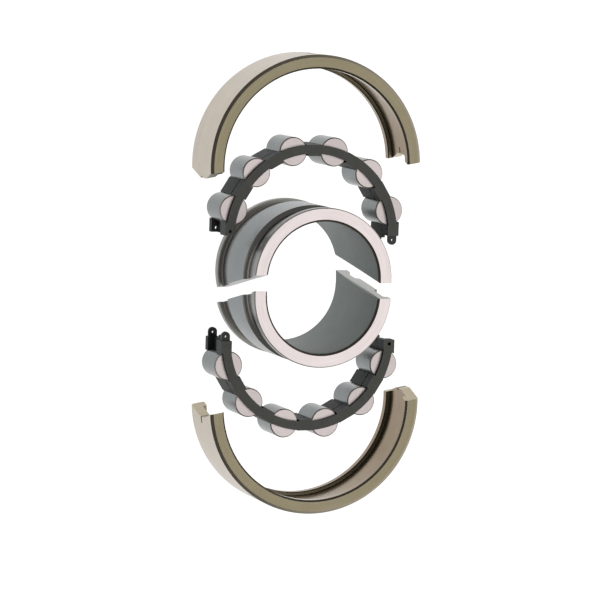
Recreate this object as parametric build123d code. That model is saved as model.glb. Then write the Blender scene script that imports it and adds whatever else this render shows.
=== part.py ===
from build123d import *
import math
import os

# Split cylindrical roller bearing for a 50 mm shaft, drawn with its halves moved apart.
# Millimetres. The bearing axis is Z, the front faces look along +Z, and the halves part along Y.
# The origin is the centre of the closed bearing, which is also the centre of the lower inner race.

# Inner race: the two halves clamp on the shaft
BORE_R = 25.0
INNER_WIDTH = 52.0
LIP_R = 30.9            # end lips
LIP_WIDTH = 3.8
RECESS_R = 28.8         # seats of the clamping rings, between each lip and the track
INNER_TRACK_R = 30.7
INNER_TRACK_WIDTH = 21.0
INNER_JOINT_LEFT = (2.1, -8.5)      # heights of the left joint line at the front and rear faces
INNER_JOINT_RIGHT = (-1.4, 5.6)     # the right joint line leans the other way
INNER_JOINT_GAP = 0.30
BORE_BEVEL = 0.6        # bevel along the bore at each joint
LIFT_OFF_PLAY = 0.1     # past its centre plane each half is straight inside, so it lifts off the shaft

# Rollers
ROLLER_R = 6.25
ROLLER_LENGTH = 17.4
ROLLER_CHAMFER = 0.45
RADIAL_PLAY = 0.05
ROLLERS_PER_HALF = 6
ROLLER_SPACING = 29.2   # degrees; the spacing over the two cage joints is a little wider
PITCH_R = INNER_TRACK_R + ROLLER_R + RADIAL_PLAY

# Outer race
OUTER_R = 47.5
OUTER_WIDTH = 27.0
SHOULDER_R = 41.5
OUTER_TRACK_R = PITCH_R + ROLLER_R + RADIAL_PLAY
OUTER_TRACK_WIDTH = 18.6
OUTER_CHAMFER = 1.2
OUTER_JOINT_GAP = 0.12
OUTER_JOINT_X = 44.5    # middle of the ring wall, where the joint heights are given
OUTER_JOINT_LEFT = -2.7
OUTER_JOINT_RIGHT = 2.1
OUTER_JOINT_LEAN = 0.5  # the foot stands this much higher at the rear face and lower at the front face
OUTER_JOINT_TILT = 10.0  # both joints climb towards +X by this many degrees
TONGUE_HEIGHT = 3.1     # the joint is a ramped tongue in a matching notch
LEFT_TONGUE_Z = (-12.8, -1.5, 5.3, 12.6)    # foot, crest, crest and foot along the left joint
RIGHT_TONGUE_Z = (-9.5, -2.5, 3.2, 12.5)
TONGUE_CORNER_R = 1.3
RELIEF_WIDTH = 1.2      # saw slot at the crest of each joint
RELIEF_IN_NOTCH = 2.8
RELIEF_IN_TONGUE = 0.9
OIL_HOLE_R = 1.5
OIL_SINK_R = 2.3
OIL_SINK_DEPTH = 0.8

# Cage
CAGE_WIDTH = 20.4
PLATE_THICKNESS = 1.4
BAND_INNER_R = 35.1
BAND_OUTER_R = 38.9
BAR_INNER_R = 34.1      # the crossbars are flat inside and outside, at these distances from the axis
BAR_OUTER_R = 38.9
BAR_SPAN = 12.0
BAR_GROOVE_WIDTH = 0.8
BAR_GROOVE_DEPTH = 0.35
BAR_GROOVE_Z = 3.9
POCKET_R = ROLLER_R + 0.15
CAGE_JOINT_GAP = 0.10
END_BLOCK_HEIGHT = 6.5
END_INNER_X = 34.7
END_OUTER_X = 39.6
END_WALL_X = 37.0       # between its two lugs an end block is only a wall up to here
FRONT_LUG_THICKNESS = 5.8
REAR_LUG_THICKNESS = 3.0

# Cage joint clips: flat tongues let into one end of each cage half
CLIP_WIDTH = 3.8
CLIP_THICKNESS = 1.4
CLIP_GRIP = 4.0         # depth inside its own half
CLIP_REACH = 3.9        # length standing out of the joint
CLIP_PLAY = 0.12
CLIP_HOLE_R = 0.5
PLATE_HOLE_R = 0.8
CLIP_HOLE_HEIGHT = 1.8
TOOTH_WIDTH = 3.0
TOOTH_DEPTH = 1.9
TOOTH_HEIGHT = 1.4

# Places of the parted halves along Y; the lower outer half lies a little to the right as well
INNER_UPPER_Y = 6.3
CAGE_UPPER_Y = 23.8
OUTER_UPPER_Y = 53.7
CAGE_LOWER_Y = -21.1
OUTER_LOWER_Y = -48.4
OUTER_LOWER_X = 3.1

REACH = 70.0            # larger than any ring
CLIP_Z = 8.45           # the clips stand just inside the side plates
CLIP_X = 37.2
TOOTH_X = (END_INNER_X + END_WALL_X) / 2
UP = 1
DOWN = -1


def box_between(low, high):
    """A box given by its lowest and highest corners."""
    size = [b - a for a, b in zip(low, high)]
    centre = [(a + b) / 2 for a, b in zip(low, high)]
    return Pos(*centre) * Box(*size)


def turned(outline):
    """A full ring turned about Z from an outline of (radius, z) points."""
    wire = Wire(Polyline(*[(r, 0, z) for r, z in outline], close=True).edges())
    return revolve(Face(wire), Axis.Z)


def mirrored_outline(front_half):
    """The outline whose front half is given, from the outer surface to the bore, with its mirror image."""
    return front_half + [(r, -z) for r, z in reversed(front_half)]


def beyond(edge, side, x_side, tilt):
    """The space on one side of a joint edge, from the edge's place at X = 0 out to the left or right."""
    start = edge @ 0
    end = edge @ 1
    far = Polyline(end, (0, side * 2 * REACH, end.Z), (0, side * 2 * REACH, start.Z), start)
    face = Face(Wire(edge.edges() + far.edges()))
    slope = math.tan(math.radians(tilt))
    return extrude(face, amount=REACH, dir=(x_side, x_side * slope, 0))


def half_space(left_edge, right_edge, side, gap, tilt):
    """The space of one half: above (or below) both joint edges, less half the gap."""
    shift = Pos(0, side * gap / 2, 0)
    return beyond(shift * left_edge, side, -1, tilt) + beyond(shift * right_edge, side, 1, tilt)


# ---------------------------------------------------------------- inner race

def inner_ring():
    face_z = INNER_WIDTH / 2
    lip_z = face_z - LIP_WIDTH
    track_z = INNER_TRACK_WIDTH / 2
    return turned(mirrored_outline([
        (BORE_R, face_z - 0.9),
        (BORE_R + 0.9, face_z),
        (LIP_R - 0.4, face_z),
        (LIP_R, face_z - 0.4),
        (LIP_R, lip_z + 0.3),
        (LIP_R - 0.3, lip_z),
        (RECESS_R + 0.5, lip_z),
        (RECESS_R, lip_z - 0.5),
        (RECESS_R, track_z + 1.0),
        (RECESS_R + 0.4, track_z + 0.5),
        (INNER_TRACK_R - 0.5, track_z),
        (INNER_TRACK_R, track_z - 0.5),
    ]))


def inner_joint_edge(front, rear):
    """A straight joint line through its heights at the front and rear faces, carried on past both."""
    middle = (front + rear) / 2
    slope = (front - rear) / INNER_WIDTH
    far_z = INNER_WIDTH / 2 + 4
    return Line((0, middle + slope * far_z, far_z), (0, middle - slope * far_z, -far_z))


def bore_corners(half):
    """The two long edges between the bore and the joint faces."""
    curves = half.edges().filter_by(GeomType.ELLIPSE)
    return [e for e in curves if math.hypot((e @ 0.5).X, (e @ 0.5).Y) < BORE_R + 0.1]


def lift_off_way(side):
    """The way a shaft takes straight out of one half."""
    wide = BORE_R + LIFT_OFF_PLAY
    low, high = sorted([0, -side * REACH])
    return box_between((-wide, low, -REACH), (wide, high, REACH))


def inner_half(side):
    left_edge = inner_joint_edge(*INNER_JOINT_LEFT)
    right_edge = inner_joint_edge(*INNER_JOINT_RIGHT)
    half = inner_ring() & half_space(left_edge, right_edge, side, INNER_JOINT_GAP, 0)
    return chamfer(bore_corners(half), BORE_BEVEL) - lift_off_way(side)


# ---------------------------------------------------------------- outer race

def outer_ring():
    face_z = OUTER_WIDTH / 2
    track_z = OUTER_TRACK_WIDTH / 2
    outline = mirrored_outline([
        (OUTER_R, face_z - OUTER_CHAMFER),
        (OUTER_R - OUTER_CHAMFER, face_z),
        (SHOULDER_R + 0.8, face_z),
        (SHOULDER_R, face_z - 0.8),
        (SHOULDER_R, track_z + 0.4),
        (SHOULDER_R + 0.4, track_z),
        (OUTER_TRACK_R - 0.3, track_z),
        (OUTER_TRACK_R, track_z - 0.3),
    ])
    return turned(outline)


def outer_joint_height(x_side, x):
    """Height of the foot of the left or right joint at a place along X."""
    middle = OUTER_JOINT_LEFT if x_side < 0 else OUTER_JOINT_RIGHT
    return middle + (x - x_side * OUTER_JOINT_X) * math.tan(math.radians(OUTER_JOINT_TILT))


def outer_joint_edge(x_side, side, tongue_z):
    """The tongue line: a ramp, a crest and a ramp. Side -1 points down, side 1 points up."""
    far_z = OUTER_WIDTH / 2 + 6
    rear_foot, rear_crest, front_crest, front_foot = tongue_z
    foot = outer_joint_height(x_side, 0)
    crest = foot + side * TONGUE_HEIGHT
    return FilletPolyline(
        (0, foot + OUTER_JOINT_LEAN, -far_z),
        (0, foot + OUTER_JOINT_LEAN, rear_foot),
        (0, crest, rear_crest),
        (0, crest, front_crest),
        (0, foot - OUTER_JOINT_LEAN, front_foot),
        (0, foot - OUTER_JOINT_LEAN, far_z),
        radius=TONGUE_CORNER_R,
    )


def relief_slot(x_side, tongue_side):
    """The saw slot across the crest of one joint: shallow in the tongue, deeper in the notch."""
    crest = outer_joint_height(x_side, x_side * OUTER_JOINT_X) + tongue_side * TONGUE_HEIGHT
    low, high = sorted([-tongue_side * RELIEF_IN_TONGUE, tongue_side * RELIEF_IN_NOTCH])
    slot = box_between((-8, low, -RELIEF_WIDTH / 2), (8, high, RELIEF_WIDTH / 2))
    return Pos(x_side * OUTER_JOINT_X, crest, 0) * Rot(0, 0, OUTER_JOINT_TILT) * slot


def oil_hole():
    """The grease way through the crown of the upper half, with a countersunk mouth."""
    to_up = Rot(-90, 0, 0)
    hole = Pos(0, OUTER_R - 4, 0) * to_up * Cylinder(OIL_HOLE_R, 16)
    sink = Pos(0, OUTER_R - OIL_SINK_DEPTH / 2, 0) * to_up * Cone(OIL_HOLE_R, OIL_SINK_R, OIL_SINK_DEPTH)
    mouth = Pos(0, OUTER_R + 1, 0) * to_up * Cylinder(OIL_SINK_R, 2)
    return hole + sink + mouth


def outer_half(side):
    left_edge = outer_joint_edge(-1, DOWN, LEFT_TONGUE_Z)
    right_edge = outer_joint_edge(1, UP, RIGHT_TONGUE_Z)
    half = outer_ring() & half_space(left_edge, right_edge, side, OUTER_JOINT_GAP, OUTER_JOINT_TILT)
    half = half - relief_slot(-1, DOWN) - relief_slot(1, UP)
    if side == UP:
        half = half - oil_hole()
    return half


# ---------------------------------------------------------------- rollers and cage

def roller_angles():
    """Angles of one half's rollers from +X, from right to left over the crown."""
    first = 90 - ROLLER_SPACING * (ROLLERS_PER_HALF - 1) / 2
    return [first + ROLLER_SPACING * i for i in range(ROLLERS_PER_HALF)]


def at_angle(angle, radius):
    """The place at an angle on a circle about the bearing axis, turned to face outwards."""
    return Rot(0, 0, angle) * Pos(radius, 0, 0)


def roller():
    blank = Cylinder(ROLLER_R, ROLLER_LENGTH)
    rims = blank.edges().filter_by(GeomType.CIRCLE)
    return chamfer(rims, ROLLER_CHAMFER)


def bar_blank():
    """One crossbar before its pockets are cut, centred on +X and flat on its inner and outer faces."""
    bar = box_between((BAR_INNER_R, -BAR_SPAN / 2, -CAGE_WIDTH / 2), (BAR_OUTER_R, BAR_SPAN / 2, CAGE_WIDTH / 2))
    low = BAR_GROOVE_Z - BAR_GROOVE_WIDTH / 2
    high = BAR_GROOVE_Z + BAR_GROOVE_WIDTH / 2
    for x_from, x_to in (
        (BAR_INNER_R - 1, BAR_INNER_R + BAR_GROOVE_DEPTH),
        (BAR_OUTER_R - BAR_GROOVE_DEPTH, BAR_OUTER_R + 1),
    ):
        bar = bar - box_between((x_from, -BAR_SPAN, low), (x_to, BAR_SPAN, high))
    return bar


def end_block():
    """The block that closes a cage half at its right joint: an inner wall with a lug at each side plate."""
    face_z = CAGE_WIDTH / 2
    block = box_between(
        (END_INNER_X, CAGE_JOINT_GAP / 2, -face_z),
        (END_OUTER_X, END_BLOCK_HEIGHT, face_z),
    )
    recess = box_between(
        (END_WALL_X, -1, REAR_LUG_THICKNESS - face_z),
        (END_OUTER_X + 1, END_BLOCK_HEIGHT + 1, face_z - FRONT_LUG_THICKNESS),
    )
    return block - recess


def side_bands():
    """The two side plates as half rings of band, front and rear."""
    band = Cylinder(BAND_OUTER_R, CAGE_WIDTH) - Cylinder(BAND_INNER_R, CAGE_WIDTH)
    waist = Cylinder(REACH, CAGE_WIDTH - 2 * PLATE_THICKNESS)
    upper = box_between((-REACH, CAGE_JOINT_GAP / 2, -REACH), (REACH, REACH, REACH))
    return (band - waist) & upper


def joint_clip():
    """A flat tongue with a rounded tip, pointing down out of the joint, with a hole near its tip."""
    tip_r = CLIP_WIDTH / 2
    shank = box_between(
        (-tip_r, tip_r - CLIP_REACH, -CLIP_THICKNESS / 2),
        (tip_r, CLIP_GRIP, CLIP_THICKNESS / 2),
    )
    tip = Pos(0, tip_r - CLIP_REACH, 0) * Cylinder(tip_r, CLIP_THICKNESS)
    hole = Pos(0, -CLIP_HOLE_HEIGHT, 0) * Cylinder(CLIP_HOLE_R, 2 * CLIP_THICKNESS)
    return shank + tip - hole


def clip_slot(x, y_from, y_to, z, play):
    """A slot for a clip, open at the joint."""
    wide = CLIP_WIDTH / 2 + play
    thick = CLIP_THICKNESS / 2 + play
    return box_between((x - wide, y_from, z - thick), (x + wide, y_to, z + thick))


def cage_half():
    """The upper cage half: clips at its right end, slots for the other half's clips at its left end."""
    body = side_bands() + end_block() + mirror(end_block(), about=Plane.YZ)
    angles = roller_angles()
    for left, right in zip(angles[:-1], angles[1:]):
        body = body + Rot(0, 0, (left + right) / 2) * bar_blank()
    for angle in angles:
        waist = at_angle(angle, PITCH_R) * Cylinder(POCKET_R, CAGE_WIDTH - 2 * PLATE_THICKNESS)
        body = body - waist
        through = at_angle(angle, PITCH_R) * Cylinder(POCKET_R, 2 * CAGE_WIDTH)
        beyond_band = through - (Cylinder(BAND_OUTER_R, REACH) - Cylinder(BAND_INNER_R, REACH))
        body = body - beyond_band
    for z in (CLIP_Z, -CLIP_Z):
        body = body - clip_slot(CLIP_X, -1, CLIP_GRIP, z, 0)
        body = body - clip_slot(-CLIP_X, -1, CLIP_REACH + 2 * CLIP_PLAY, z, CLIP_PLAY)
    body = body - Pos(-CLIP_X, CLIP_HOLE_HEIGHT, 0) * Cylinder(PLATE_HOLE_R, 2 * CAGE_WIDTH)
    notch = box_between(
        (-END_WALL_X - 1, -1, -TOOTH_WIDTH / 2 - CLIP_PLAY),
        (1 - END_INNER_X, TOOTH_HEIGHT + CLIP_PLAY, TOOTH_WIDTH / 2 + CLIP_PLAY),
    )
    tooth = box_between(
        (TOOTH_X - TOOTH_DEPTH / 2, -TOOTH_HEIGHT, -TOOTH_WIDTH / 2),
        (TOOTH_X + TOOTH_DEPTH / 2, TOOTH_HEIGHT, TOOTH_WIDTH / 2),
    )
    return body - notch + tooth


# ---------------------------------------------------------------- assembly

def save(name, shape):
    """Write one sub-part, as a single solid, to its own file."""
    solids = shape.solids()
    if len(solids) != 1:
        raise ValueError(f"{name} has {len(solids)} solids")
    solid = solids[0]
    solid.label = name
    export_step(solid, f"parts/{name}.step")
    print(f"{name}: {solid.volume:.1f} mm3")


def save_cage_set(half_name, half_turn, y, first_roller):
    """One cage half with its two clips and six rollers, placed and written."""
    place = Pos(0, y, 0) * Rot(0, 0, half_turn)
    save(f"cage_{half_name}", place * cage_half())
    for clip_name, z in (("front", CLIP_Z), ("rear", -CLIP_Z)):
        save(f"cage_clip_{half_name}_{clip_name}", place * Pos(CLIP_X, 0, z) * joint_clip())
    for i, angle in enumerate(roller_angles()):
        save(f"roller_{first_roller + i:02d}", place * at_angle(angle, PITCH_R) * roller())


def main():
    os.makedirs("parts", exist_ok=True)
    save("outer_race_upper", Pos(0, OUTER_UPPER_Y, 0) * outer_half(UP))
    save("outer_race_lower", Pos(OUTER_LOWER_X, OUTER_LOWER_Y, 0) * outer_half(DOWN))
    save("inner_race_upper", Pos(0, INNER_UPPER_Y, 0) * inner_half(UP))
    save("inner_race_lower", inner_half(DOWN))
    save_cage_set("upper", 0, CAGE_UPPER_Y, 1)
    save_cage_set("lower", 180, CAGE_LOWER_Y, 1 + ROLLERS_PER_HALF)


main()
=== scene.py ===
import bpy
import math
from mathutils import Matrix, Vector

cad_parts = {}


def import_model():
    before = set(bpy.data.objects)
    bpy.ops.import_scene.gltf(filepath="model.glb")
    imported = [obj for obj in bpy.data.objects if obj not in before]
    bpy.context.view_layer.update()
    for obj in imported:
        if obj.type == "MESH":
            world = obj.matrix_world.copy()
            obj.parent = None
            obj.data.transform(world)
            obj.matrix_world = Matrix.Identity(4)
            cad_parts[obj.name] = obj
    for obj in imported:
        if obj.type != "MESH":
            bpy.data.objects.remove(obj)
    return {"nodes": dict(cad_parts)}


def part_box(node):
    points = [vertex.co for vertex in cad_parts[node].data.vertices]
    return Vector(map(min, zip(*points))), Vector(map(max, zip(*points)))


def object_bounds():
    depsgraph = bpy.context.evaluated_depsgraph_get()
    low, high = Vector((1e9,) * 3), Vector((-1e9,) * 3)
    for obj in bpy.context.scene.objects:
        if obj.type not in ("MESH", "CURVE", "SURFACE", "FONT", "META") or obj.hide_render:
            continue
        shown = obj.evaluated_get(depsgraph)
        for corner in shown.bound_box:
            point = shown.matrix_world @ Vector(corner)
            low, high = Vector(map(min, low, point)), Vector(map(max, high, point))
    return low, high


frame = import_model()
cad_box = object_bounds()
nodes = frame["nodes"]

MM = 0.001

# Sizes of the bearing that the finishes follow, in millimetres, as in the part's source
OUTER_R = 47.5
INNER_WIDTH = 52.0
INNER_TRACK_WIDTH = 21.0
LIP_R = 30.9
RECESS_R = 28.8
BORE_R = 25.0
ROLLER_R = 6.25
ROLLER_LENGTH = 17.4
CAGE_GROOVE_Z = 3.9


# ---------------------------------------------------------------- shader helpers

class Graph:
    """Short names for the shader nodes of one material."""

    def __init__(self, name):
        self.material = bpy.data.materials.new(name)
        self.material.use_nodes = True
        self.tree = self.material.node_tree
        self.tree.nodes.clear()

    def add(self, kind, **settings):
        node = self.tree.nodes.new("ShaderNode" + kind)
        for key, value in settings.items():
            setattr(node, key, value)
        return node

    def feed(self, socket, value):
        """Joins an output to a socket, or sets the socket's own value."""
        if isinstance(value, bpy.types.NodeSocket):
            self.tree.links.new(value, socket)
        elif isinstance(value, (tuple, list)) and socket.type == "RGBA":
            socket.default_value = (*value, 1.0)
        else:
            socket.default_value = value

    def math(self, operation, a, b=0.0, c=0.0, clamp=False):
        node = self.add("Math", operation=operation, use_clamp=clamp)
        for socket, value in zip(node.inputs, (a, b, c)):
            self.feed(socket, value)
        return node.outputs[0]

    def vector(self, operation, a, b=(0, 0, 0), result=0):
        node = self.add("VectorMath", operation=operation)
        self.feed(node.inputs[0], a)
        self.feed(node.inputs[1], b)
        return node.outputs[result]

    def step(self, value, low, high, to_low=0.0, to_high=1.0):
        """A smooth step of a value between two limits."""
        node = self.add("MapRange", interpolation_type="SMOOTHSTEP")
        for socket, given in zip(node.inputs, (value, low, high, to_low, to_high)):
            self.feed(socket, given)
        return node.outputs[0]

    def band(self, value, centre, half, soft):
        """One inside a band of values, falling to zero over a soft edge."""
        distance = self.math("ABSOLUTE", self.math("SUBTRACT", value, centre))
        return self.step(distance, half, half + soft, 1.0, 0.0)

    def mix(self, factor, a, b, blend="MIX"):
        node = self.add("Mix", data_type="RGBA", blend_type=blend)
        self.feed(node.inputs[0], factor)
        self.feed(node.inputs[6], a)
        self.feed(node.inputs[7], b)
        return node.outputs[2]

    def noise(self, vector, scale, detail=3.0, rough=0.55, distortion=0.0):
        node = self.add("TexNoise")
        self.feed(node.inputs["Vector"], vector)
        self.feed(node.inputs["Scale"], scale)
        self.feed(node.inputs["Detail"], detail)
        self.feed(node.inputs["Roughness"], rough)
        self.feed(node.inputs["Distortion"], distortion)
        return node.outputs["Fac"]

    def combine(self, x, y, z):
        node = self.add("CombineXYZ")
        for socket, value in zip(node.inputs, (x, y, z)):
            self.feed(socket, value)
        return node.outputs[0]

    def split(self, vector):
        node = self.add("SeparateXYZ")
        self.feed(node.inputs[0], vector)
        return node.outputs

    def bump(self, height, distance, strength=1.0, under=None):
        node = self.add("Bump")
        self.feed(node.inputs["Strength"], strength)
        self.feed(node.inputs["Distance"], distance)
        self.feed(node.inputs["Height"], height)
        if under is not None:
            self.feed(node.inputs["Normal"], under)
        return node.outputs[0]

    def edges(self, width):
        """One at the sharp edges of the piece, zero on its open surfaces."""
        rounded = self.add("Bevel", samples=6)
        rounded.inputs["Radius"].default_value = width
        true = self.add("NewGeometry").outputs["Normal"]
        agreement = self.vector("DOT_PRODUCT", rounded.outputs[0], true, result=1)
        return self.step(agreement, 0.995, 0.80)

    def surface(self, colour, roughness, normal, metallic=1.0, **constants):
        shader = self.add("BsdfPrincipled")
        self.feed(shader.inputs["Base Color"], colour)
        self.feed(shader.inputs["Roughness"], roughness)
        self.feed(shader.inputs["Metallic"], metallic)
        if normal is not None:
            self.feed(shader.inputs["Normal"], normal)
        for name, value in constants.items():
            shader.inputs[name.replace("_", " ")].default_value = value
        output = self.add("OutputMaterial")
        self.tree.links.new(shader.outputs[0], output.inputs["Surface"])
        return self.material


def ring_coordinates(g, centre):
    """Place and facing of a point on a ring half, in polar terms about the ring's axis, in millimetres."""
    source = g.add("TexCoord")
    place = g.vector("SUBTRACT", source.outputs["Object"], (*centre, 0))
    place = g.vector("MULTIPLY", place, (1 / MM, 1 / MM, 1 / MM))
    x, y, z = g.split(place)
    flat = g.combine(x, y, 0.0)
    radius = g.vector("LENGTH", flat, result=1)
    angle = g.math("ARCTAN2", y, x)
    outward = g.vector("NORMALIZE", flat)
    facing = source.outputs["Normal"]
    radial = g.vector("DOT_PRODUCT", facing, outward, result=1)
    axial = g.math("ABSOLUTE", g.split(facing)[2])
    return place, radius, angle, z, radial, axial


def grinding(g, radius, angle, z, fine=6.0):
    """Fine lines that run round the ring, and broader bands seven times as wide."""
    along = g.math("MULTIPLY", angle, 1.6)

    def across(scale):
        return g.combine(along, g.math("MULTIPLY", radius, scale), g.math("MULTIPLY", z, scale))

    lines = g.noise(across(fine), 1.0, 4.0, 0.6)
    broad = g.noise(across(fine / 7), 1.0, 2.0)
    return lines, broad


# ---------------------------------------------------------------- materials

def outer_race_steel(name, centre):
    """Straw-toned bearing steel: ground outside, duller faces, dark unground chamfers, a polished track that
    also carries painted shade from inside the ring.
    """
    g = Graph(name)
    place, radius, angle, z, radial, axial = ring_coordinates(g, centre)
    lines, broad = grinding(g, radius, angle, z)
    mottle = g.noise(place, 0.12, 3.0)
    grain = g.noise(place, 2.2, 4.0, 0.7)

    outside = g.mix(mottle, (0.455, 0.402, 0.334), (0.515, 0.463, 0.392))
    face = g.mix(mottle, (0.265, 0.228, 0.146), (0.315, 0.275, 0.186))
    # The track inside is polished and also painted darker: painted shade inside the ring's hollow.
    inside = g.mix(mottle, (0.200, 0.143, 0.085), (0.258, 0.194, 0.123))
    joint = g.mix(mottle, (0.40, 0.35, 0.25), (0.47, 0.41, 0.31))
    chamfer = (0.30, 0.265, 0.205)

    is_outside = g.step(radial, 0.5, 0.9)
    is_inside = g.step(radial, -0.5, -0.9)
    is_face = g.step(axial, 0.93, 0.98)
    is_joint = g.step(g.math("ABSOLUTE", radial), 0.35, 0.20)
    is_joint = g.math("MULTIPLY", is_joint, g.step(axial, 0.93, 0.85))
    is_chamfer = g.band(axial, 0.707, 0.12, 0.05)
    is_chamfer = g.math("MULTIPLY", is_chamfer, g.step(g.math("ABSOLUTE", radial), 0.5, 0.62))

    colour = g.mix(is_outside, face, outside)
    colour = g.mix(is_inside, colour, inside)
    colour = g.mix(is_face, colour, face)
    colour = g.mix(is_joint, colour, joint)
    colour = g.mix(is_chamfer, colour, chamfer)
    shade = g.step(lines, 0.25, 0.75, 0.90, 1.06)
    shade = g.math("MULTIPLY", shade, g.step(broad, 0.3, 0.7, 0.96, 1.03))
    shade = g.math("MULTIPLY", shade, g.step(grain, 0.2, 0.8, 0.95, 1.05))
    colour = g.vector("SCALE", colour)
    g.feed(colour.node.inputs["Scale"], shade)
    worn = g.edges(0.35 * MM)
    colour = g.mix(g.math("MULTIPLY", worn, 0.35), colour, (0.70, 0.64, 0.54))

    rough = g.step(grain, 0.2, 0.8, 0.27, 0.40)
    rough = g.math("ADD", rough, g.math("MULTIPLY", is_face, 0.10))
    rough = g.math("SUBTRACT", rough, g.math("MULTIPLY", is_inside, 0.14))
    normal = g.bump(lines, 0.012 * MM, 0.6)
    normal = g.bump(grain, 0.010 * MM, 0.5, normal)
    return g.surface(colour, rough, normal)


def inner_race_steel(name, centre):
    """Grey ground steel: darker ring seats, lips and bore, a smooth track; the faces carry painted light, a
    bright pinkish copy of the steel for the warm front light on them.
    """
    g = Graph(name)
    place, radius, angle, z, radial, axial = ring_coordinates(g, centre)
    lines, broad = grinding(g, radius, angle, z, 7.0)
    mottle = g.noise(place, 0.10, 3.0)
    grain = g.noise(place, 2.4, 4.0, 0.7)

    track = g.mix(mottle, (0.136, 0.153, 0.155), (0.183, 0.200, 0.202))
    seat = g.mix(mottle, (0.190, 0.200, 0.198), (0.250, 0.260, 0.255))
    lip = g.mix(mottle, (0.175, 0.182, 0.172), (0.240, 0.240, 0.222))
    bore = g.mix(mottle, (0.158, 0.180, 0.175), (0.207, 0.230, 0.224))
    # Painted light: the faces get a bright, pinkish copy of the steel's colour, standing for the warm front
    # light falling on them.
    face = g.mix(mottle, (0.70, 0.625, 0.615), (0.76, 0.69, 0.68))
    wall = (0.46, 0.46, 0.43)
    joint = g.mix(mottle, (0.23, 0.24, 0.23), (0.31, 0.31, 0.295))
    # The chamfer near the bore is painted dark as painted shade at the mouth of the bore; the outer chamfers
    # are pale.
    chamfer = g.mix(g.step(radius, BORE_R + 1.5, BORE_R + 2.5), (0.22, 0.19, 0.15), (0.60, 0.56, 0.52))

    height = g.math("ABSOLUTE", z)
    is_outside = g.step(radial, 0.5, 0.9)
    is_bore = g.step(radial, -0.5, -0.9)
    on_track = g.step(height, INNER_TRACK_WIDTH / 2 + 0.3, INNER_TRACK_WIDTH / 2 - 0.1)
    on_seat = g.step(radius, RECESS_R + 1.4, RECESS_R + 0.6)
    is_face = g.step(axial, 0.93, 0.98)
    is_end = g.step(height, INNER_WIDTH / 2 - 1.0, INNER_WIDTH / 2 - 0.4)
    is_joint = g.step(g.math("ABSOLUTE", radial), 0.35, 0.20)
    is_joint = g.math("MULTIPLY", is_joint, g.step(axial, 0.93, 0.85))
    is_chamfer = g.band(axial, 0.707, 0.12, 0.05)
    is_chamfer = g.math("MULTIPLY", is_chamfer, g.step(g.math("ABSOLUTE", radial), 0.5, 0.62))

    outside = g.mix(on_track, g.mix(on_seat, lip, seat), track)
    colour = g.mix(is_outside, wall, outside)
    colour = g.mix(is_bore, colour, bore)
    colour = g.mix(is_face, colour, g.mix(is_end, wall, face))
    colour = g.mix(is_joint, colour, joint)
    colour = g.mix(is_chamfer, colour, chamfer)
    shade = g.step(lines, 0.25, 0.75, 0.92, 1.05)
    shade = g.math("MULTIPLY", shade, g.step(broad, 0.3, 0.7, 0.96, 1.03))
    shade = g.math("MULTIPLY", shade, g.step(grain, 0.2, 0.8, 0.96, 1.04))
    colour = g.vector("SCALE", colour)
    g.feed(colour.node.inputs["Scale"], shade)
    worn = g.edges(0.3 * MM)
    colour = g.mix(g.math("MULTIPLY", worn, 0.30), colour, (0.62, 0.60, 0.57))

    rough = g.step(grain, 0.2, 0.8, 0.24, 0.34)
    rough = g.math("ADD", rough, g.math("MULTIPLY", is_face, 0.12))
    rough = g.math("ADD", rough, g.math("MULTIPLY", is_bore, 0.28))
    rough = g.math("ADD", rough, g.math("MULTIPLY", is_chamfer, 0.25))
    normal = g.bump(lines, 0.010 * MM, 0.6)
    normal = g.bump(grain, 0.008 * MM, 0.5, normal)
    return g.surface(colour, rough, normal)


def roller_steel():
    """Fine ground cylinder, ends painted pale and pinkish as painted light from the warm front lamp, with
    turning rings, a duller chamfer round each end.
    """
    g = Graph("roller_steel")
    source = g.add("TexCoord")
    unit = g.vector("SUBTRACT", source.outputs["Generated"], (0.5, 0.5, 0.5))
    place = g.vector("MULTIPLY", unit, (2 * ROLLER_R, 2 * ROLLER_R, ROLLER_LENGTH))
    x, y, z = g.split(place)
    radius = g.vector("LENGTH", g.combine(x, y, 0.0), result=1)
    axial = g.math("ABSOLUTE", g.split(source.outputs["Normal"])[2])
    each = g.add("ObjectInfo").outputs["Random"]
    place = g.vector("ADD", place, g.combine(g.math("MULTIPLY", each, 90.0), 0.0, 0.0))
    rings = g.noise(g.combine(g.math("MULTIPLY", radius, 9.0), g.math("MULTIPLY", z, 9.0), each), 1.0, 4.0)
    grain = g.noise(place, 2.5, 4.0, 0.7)
    mottle = g.noise(place, 0.35, 2.0)

    side = g.mix(mottle, (0.150, 0.166, 0.168), (0.200, 0.212, 0.214))
    # Painted light: the ends get a pale, pinkish copy of the steel's colour, standing for the warm front
    # light on them.
    end = g.mix(mottle, (0.53, 0.470, 0.460), (0.60, 0.54, 0.53))
    chamfer = (0.62, 0.55, 0.50)
    is_end = g.step(axial, 0.85, 0.95)
    is_chamfer = g.band(axial, 0.707, 0.12, 0.05)
    colour = g.mix(is_end, side, end)
    colour = g.mix(is_chamfer, colour, chamfer)
    shade = g.step(rings, 0.25, 0.75, 0.93, 1.05)
    shade = g.math("MULTIPLY", shade, g.step(grain, 0.2, 0.8, 0.95, 1.05))
    shade = g.math("MULTIPLY", shade, g.step(each, 0.0, 1.0, 0.95, 1.05))
    colour = g.vector("SCALE", colour)
    g.feed(colour.node.inputs["Scale"], shade)
    rough = g.step(grain, 0.2, 0.8, 0.22, 0.33)
    rough = g.math("ADD", rough, g.math("MULTIPLY", is_end, 0.14))
    rough = g.math("ADD", rough, g.math("MULTIPLY", is_chamfer, 0.30))
    normal = g.bump(rings, 0.008 * MM, 0.6)
    normal = g.bump(grain, 0.008 * MM, 0.4, normal)
    return g.surface(colour, rough, normal)


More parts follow.
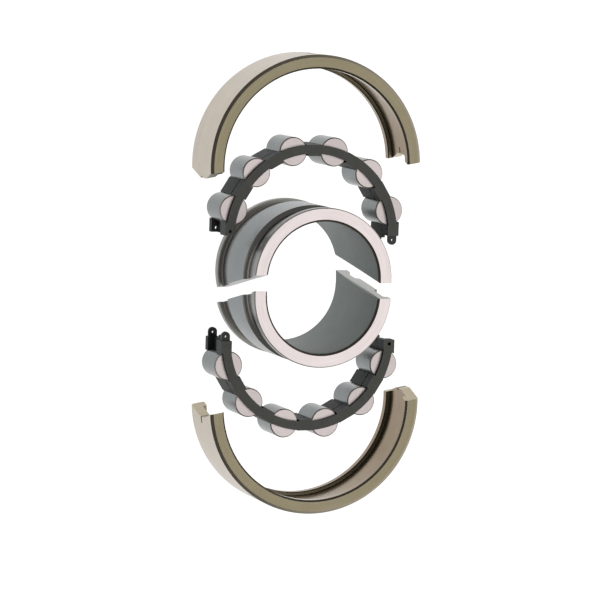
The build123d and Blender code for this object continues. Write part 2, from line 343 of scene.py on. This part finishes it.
def cage_finish(name, dark, light, face_lit_tone):
    """Black-oxide steel: blasted grain, mill marks, rubbed edges, with painted light: warmer, lighter faces
    and a lighter front strip standing for the light on them.
    """
    g = Graph(name)
    source = g.add("TexCoord")
    place = g.vector("MULTIPLY", source.outputs["Object"], (1 / MM, 1 / MM, 1 / MM))
    x, y, z = g.split(place)
    axial = g.math("ABSOLUTE", g.split(source.outputs["Normal"])[2])
    grain = g.noise(place, 3.0, 5.0, 0.75)
    cloud = g.noise(place, 0.25, 3.0)
    stretched = g.combine(g.math("MULTIPLY", x, 0.5), g.math("MULTIPLY", y, 0.5), g.math("MULTIPLY", z, 5.0))
    marks = g.noise(stretched, 1.0, 3.0)
    is_face = g.step(axial, 0.90, 0.98)
    colour = g.mix(cloud, dark, light)
    # Painted light: the front part of the cage gets a lighter copy of the oxide colour, as if lit.
    front_strip = g.step(z, CAGE_GROOVE_Z - 0.2, CAGE_GROOVE_Z + 0.2)
    strip_colour = g.mix(cloud, tuple(c * 2.6 for c in dark), tuple(c * 2.2 for c in light))
    colour = g.mix(front_strip, colour, strip_colour)
    # Painted light: faces get a warmer, lighter tone standing for the front light falling on them.
    colour = g.mix(is_face, colour, g.mix(cloud, face_lit_tone, tuple(c * 1.25 for c in face_lit_tone)))
    shade = g.step(grain, 0.25, 0.75, 0.80, 1.18)
    shade = g.math("MULTIPLY", shade, g.step(marks, 0.3, 0.7, 0.94, 1.05))
    colour = g.vector("SCALE", colour)
    g.feed(colour.node.inputs["Scale"], shade)
    worn = g.edges(0.30 * MM)
    worn = g.math("MULTIPLY", worn, g.step(cloud, 0.35, 0.65, 0.15, 0.60))
    colour = g.mix(worn, colour, (0.22, 0.22, 0.21))
    rough = g.step(grain, 0.2, 0.8, 0.50, 0.64)
    normal = g.bump(grain, 0.03 * MM, 0.6)
    normal = g.bump(marks, 0.02 * MM, 0.3, normal)
    return g.surface(colour, rough, normal, metallic=0.6)


def paint(node_name, material):
    obj = nodes[node_name]
    obj.data.materials.clear()
    obj.data.materials.append(material)


def ring_centre(node_name, radius):
    """The centre of a half's ring: the upper halves reach full left, the lower ones full right."""
    low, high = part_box(node_name)
    if node_name.endswith("upper"):
        return low.x + radius * MM, high.y - radius * MM
    return high.x - radius * MM, low.y + radius * MM


def finish_all_pieces():
    for half in ("upper", "lower"):
        outer = "outer_race_" + half
        inner = "inner_race_" + half
        paint(outer, outer_race_steel(outer + "_steel", ring_centre(outer, OUTER_R)))
        paint(inner, inner_race_steel(inner + "_steel", ring_centre(inner, LIP_R)))
    cage = cage_finish("cage_oxide", (0.006, 0.009, 0.010), (0.013, 0.016, 0.018), (0.085, 0.084, 0.076))
    clip = cage_finish("clip_oxide", (0.014, 0.017, 0.018), (0.028, 0.031, 0.032), (0.050, 0.050, 0.047))
    roller = roller_steel()
    for node_name in nodes:
        if node_name.startswith("roller"):
            paint(node_name, roller)
        elif node_name.startswith("cage_clip"):
            paint(node_name, clip)
        elif node_name.startswith("cage"):
            paint(node_name, cage)


# ---------------------------------------------------------------- floor, light, camera

FLOOR_DROP = 0.10       # metres from the bearing down to the floor
FLOOR_HALF = 3.0        # metres from the middle of the floor to its edges
KEY_PLACE = (0.46, -0.14, 1.21)
KEY_SIZE = 1.5
KEY_WATTS = 7.4
SKY_STRENGTH = 0.12
CAMERA_DISTANCE = 1.5417
CAMERA_YAW = math.radians(20.52)
CAMERA_PITCH = math.radians(6.03)
CAMERA_ROLL = math.radians(2.0)
AIM_X = -2.33 * MM      # where the camera looks, from the middle of the parted bearing
AIM_Y = -7.47 * MM


def floor(z):
    """An evenly lit pale floor."""
    half = FLOOR_HALF
    mesh = bpy.data.meshes.new("floor")
    corners = [(-half, -half, z), (half, -half, z), (half, half, z), (-half, half, z)]
    mesh.from_pydata(corners, [], [(0, 1, 2, 3)])
    obj = bpy.data.objects.new("floor", mesh)
    bpy.context.scene.collection.objects.link(obj)
    g = Graph("pale_floor")
    place = g.add("TexCoord").outputs["Object"]
    tone = g.mix(g.noise(place, 9.0, 4.0), (0.90, 0.90, 0.90), (0.93, 0.93, 0.93))
    material = g.surface(tone, 0.9, None, metallic=0.0, Emission_Color=(1, 1, 1, 1), Emission_Strength=0.78)
    mesh.materials.append(material)


def area_light(name, place, target, size, watts):
    light = bpy.data.lights.new(name, "AREA")
    light.shape = "DISK"
    light.size = size
    light.energy = watts
    obj = bpy.data.objects.new(name, light)
    obj.location = place
    obj.rotation_euler = (Vector(target) - Vector(place)).to_track_quat("-Z", "Y").to_euler()
    bpy.context.scene.collection.objects.link(obj)


def world(strength):
    sky = bpy.data.worlds.new("studio")
    sky.use_nodes = True
    background = sky.node_tree.nodes["Background"]
    background.inputs["Color"].default_value = (1, 1, 1, 1)
    background.inputs["Strength"].default_value = strength
    bpy.context.scene.world = sky


def camera():
    """Nearly along the bearing axis, from a little to the left and above, with a long lens."""
    low, high = cad_box
    target = Vector(((low.x + high.x) / 2 + AIM_X, (low.y + high.y) / 2 + AIM_Y, 0.0))
    away = Vector((
        -math.sin(CAMERA_YAW) * math.cos(CAMERA_PITCH),
        math.sin(CAMERA_PITCH),
        math.cos(CAMERA_YAW) * math.cos(CAMERA_PITCH),
    ))
    right = Vector((0, 1, 0)).cross(away).normalized()
    up = away.cross(right)
    turned_right = right * math.cos(CAMERA_ROLL) + up * math.sin(CAMERA_ROLL)
    turned_up = away.cross(turned_right)
    data = bpy.data.cameras.new("camera")
    data.lens = 215.2
    data.sensor_width = 36.0
    obj = bpy.data.objects.new("camera", data)
    axes = Matrix((turned_right, turned_up, away)).transposed()
    obj.matrix_world = Matrix.Translation(target + away * CAMERA_DISTANCE) @ axes.to_4x4()
    bpy.context.scene.collection.objects.link(obj)
    bpy.context.scene.camera = obj


finish_all_pieces()
floor(cad_box[0].z - FLOOR_DROP)
world(SKY_STRENGTH)
area_light("key", KEY_PLACE, (0, 0, 0), KEY_SIZE, KEY_WATTS)
camera()
bpy.context.scene.view_settings.view_transform = "Standard"
